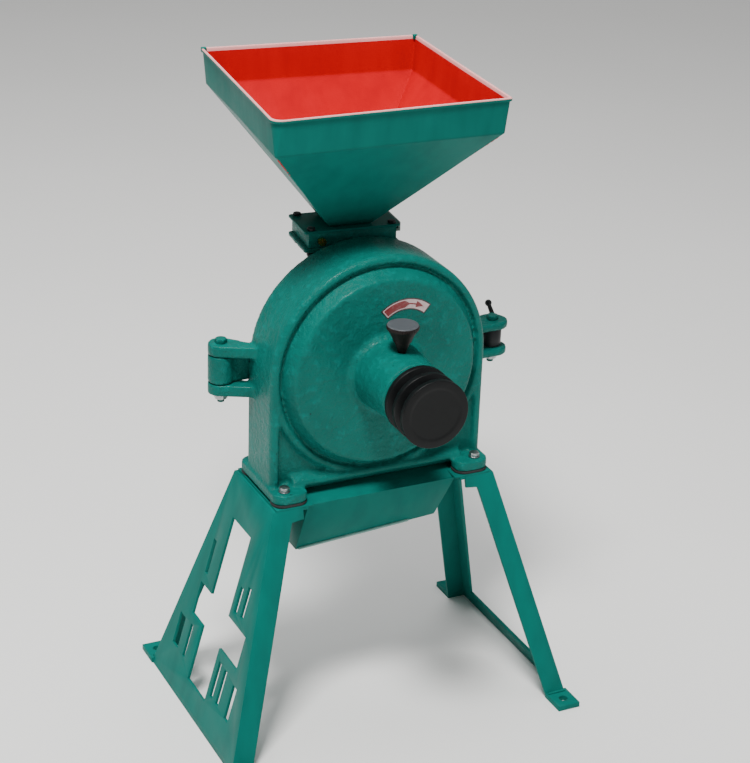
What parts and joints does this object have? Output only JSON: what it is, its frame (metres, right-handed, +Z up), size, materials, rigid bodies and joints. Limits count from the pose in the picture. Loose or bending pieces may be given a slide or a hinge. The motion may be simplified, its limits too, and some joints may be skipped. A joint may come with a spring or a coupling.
{
  "type": "hammer mill",
  "caption": "Small belt-driven hammer mill: D-shaped cast casing with a boss and grooved pulley, square feed hopper with slide gate, hinged door, sheet stand with a meal chute.",
  "frame": {"origin": "on the floor, in the middle of the four foot holes", "axes": "+Z up; -Y towards the pulley side; +Y towards the door and the rotor's open side; +X towards the door clamp, -X towards the door hinge and the motor plate"},
  "size_m": [0.528, 0.479, 0.8865],
  "materials": {
    "green_enamel": "brushed gloss enamel on folded sheet",
    "cast_enamel": "gloss enamel on sand-cast iron",
    "hopper_enamel": "green outside, signal red inside",
    "zinc_steel": "zinc-plated",
    "bright_steel": "turned and ground",
    "cast_iron": "machined grey iron",
    "hammer_steel": "heat-treated plate",
    "black_paint": "satin black",
    "black_rubber": "matt",
    "grey_felt": "pressed felt",
    "brass": "turned",
    "label_film": "printed film",
    "bearing_steel": "polished",
    "galvanised": "dull sheet"
  },
  "bodies": {
    "mill_body": {"left_side_frame": "green_enamel", "right_side_frame": "green_enamel", "discharge_chute": "green_enamel", "packing_pads": "black_rubber", "casing": "cast_enamel", "casing_bolts": "zinc_steel", "casing_washers": "zinc_steel", "casing_nuts": "zinc_steel", "bearing_outer_rings": "bearing_steel", "bearing_spacer": "bright_steel", "bearing_cover": "cast_enamel", "cover_screws": "zinc_steel", "felt_seal": "grey_felt", "grease_cup_base": "black_paint", "wear_liner": "bright_steel", "liner_screws": "zinc_steel", "ring_screen": "bright_steel", "direction_label": "label_film", "hinge_pin": "zinc_steel", "hinge_nut": "zinc_steel", "clamp_pin": "zinc_steel", "clamp_pin_nut": "zinc_steel"},
    "rotor": {"shaft": "bright_steel", "drive_pulley": "black_paint", "pulley_key": "bright_steel", "pulley_set_screw": "black_paint", "bearing_inner_rings": "bearing_steel", "rotor_back_plate": "cast_iron", "rotor_front_spider": "cast_iron", "rotor_hub_sleeve": "cast_iron", "rotor_key": "bright_steel", "rotor_lock_nut": "bright_steel", "hammer_pins": "bright_steel", "pin_spacers": "bright_steel", "pin_clips": "bright_steel"},
    "bearing_balls": {"bearing_balls": "bearing_steel"},
    "hammer_1": {"hammer_1": "hammer_steel"},
    "hammer_2": {"hammer_2": "hammer_steel"},
    "hammer_3": {"hammer_3": "hammer_steel"},
    "hammer_4": {"hammer_4": "hammer_steel"},
    "hammer_5": {"hammer_5": "hammer_steel"},
    "hammer_6": {"hammer_6": "hammer_steel"},
    "hammer_7": {"hammer_7": "hammer_steel"},
    "hammer_8": {"hammer_8": "hammer_steel"},
    "hammer_9": {"hammer_9": "hammer_steel"},
    "hammer_10": {"hammer_10": "hammer_steel"},
    "door": {"rear_door": "cast_enamel", "door_gasket": "black_rubber", "gate_housing": "cast_enamel", "hopper": "hopper_enamel", "hopper_bolts": "black_paint", "hopper_nuts": "black_paint"},
    "feed_gate": {"feed_gate": "galvanised"},
    "gate_screw": {"gate_screw": "brass"},
    "clamp_eyebolt": {"clamp_eyebolt": "black_paint"},
    "clamp_lever_nut": {"clamp_lever_nut": "black_paint"},
    "grease_cup_cap": {"grease_cup_cap": "black_paint"}
  },
  "joints": [
    {"name": "rotor_spin", "type": "hinge", "parent": "mill_body", "child": "rotor", "pos_m": [0, 0, 0.516], "axis": [0, 1, 0], "continuous": true},
    {"name": "ball_cage_spin", "type": "hinge", "parent": "mill_body", "child": "bearing_balls", "pos_m": [0, 0, 0.516], "axis": [0, 1, 0], "continuous": true},
    {"name": "hammer_1_swing", "type": "hinge", "parent": "rotor", "child": "hammer_1", "pos_m": [0.04384, 0, 0.55984], "axis": [0, 1, 0], "range_deg": [-272, 2]},
    {"name": "hammer_2_swing", "type": "hinge", "parent": "rotor", "child": "hammer_2", "pos_m": [0.04384, 0, 0.55984], "axis": [0, 1, 0], "range_deg": [-272, 2]},
    {"name": "hammer_3_swing", "type": "hinge", "parent": "rotor", "child": "hammer_3", "pos_m": [0.04384, 0, 0.55984], "axis": [0, 1, 0], "range_deg": [-272, 2]},
    {"name": "hammer_4_swing", "type": "hinge", "parent": "rotor", "child": "hammer_4", "pos_m": [-0.04384, 0, 0.55984], "axis": [0, 1, 0], "range_deg": [-2, 272]},
    {"name": "hammer_5_swing", "type": "hinge", "parent": "rotor", "child": "hammer_5", "pos_m": [-0.04384, 0, 0.55984], "axis": [0, 1, 0], "range_deg": [-2, 272]},
    {"name": "hammer_6_swing", "type": "hinge", "parent": "rotor", "child": "hammer_6", "pos_m": [-0.04384, 0, 0.47216], "axis": [0, 1, 0], "range_deg": [-92, 182]},
    {"name": "hammer_7_swing", "type": "hinge", "parent": "rotor", "child": "hammer_7", "pos_m": [-0.04384, 0, 0.47216], "axis": [0, 1, 0], "range_deg": [-92, 182]},
    {"name": "hammer_8_swing", "type": "hinge", "parent": "rotor", "child": "hammer_8", "pos_m": [-0.04384, 0, 0.47216], "axis": [0, 1, 0], "range_deg": [-92, 182]},
    {"name": "hammer_9_swing", "type": "hinge", "parent": "rotor", "child": "hammer_9", "pos_m": [0.04384, 0, 0.47216], "axis": [0, 1, 0], "range_deg": [-182, 92]},
    {"name": "hammer_10_swing", "type": "hinge", "parent": "rotor", "child": "hammer_10", "pos_m": [0.04384, 0, 0.47216], "axis": [0, 1, 0], "range_deg": [-182, 92]},
    {"name": "door_hinge", "type": "hinge", "parent": "mill_body", "child": "door", "pos_m": [-0.195, 0.054, 0.516], "axis": [0, 0, 1], "range_deg": [0, 110]},
    {"name": "feed_gate_slide", "type": "slide", "parent": "door", "child": "feed_gate", "axis": [0.9951, -0.0993, 0], "range_m": [0, 0.082]},
    {"name": "gate_screw_turn", "type": "hinge", "parent": "door", "child": "gate_screw", "pos_m": [-0.04745, 0.06175, 0.669], "axis": [0.0993, 0.9951, 0], "range_deg": [0, 360]},
    {"name": "clamp_swing", "type": "hinge", "parent": "mill_body", "child": "clamp_eyebolt", "pos_m": [0.214, 0.04, 0.4985], "axis": [0, 0, 1], "range_deg": [-60, 35]},
    {"name": "clamp_nut_turn", "type": "hinge", "parent": "clamp_eyebolt", "child": "clamp_lever_nut", "pos_m": [0.214, 0.04, 0.4985], "axis": [0.5736, 0.8192, 0], "range_deg": [-180, 180]},
    {"name": "grease_cap_turn", "type": "hinge", "parent": "mill_body", "child": "grease_cup_cap", "pos_m": [0, -0.1, 0.58], "axis": [0, 0, 1], "range_deg": [0, 360]}
  ],
  "couplings": [
    {"joint": "ball_cage_spin", "follows": "rotor_spin", "ratio": 0.3967}
  ]
}
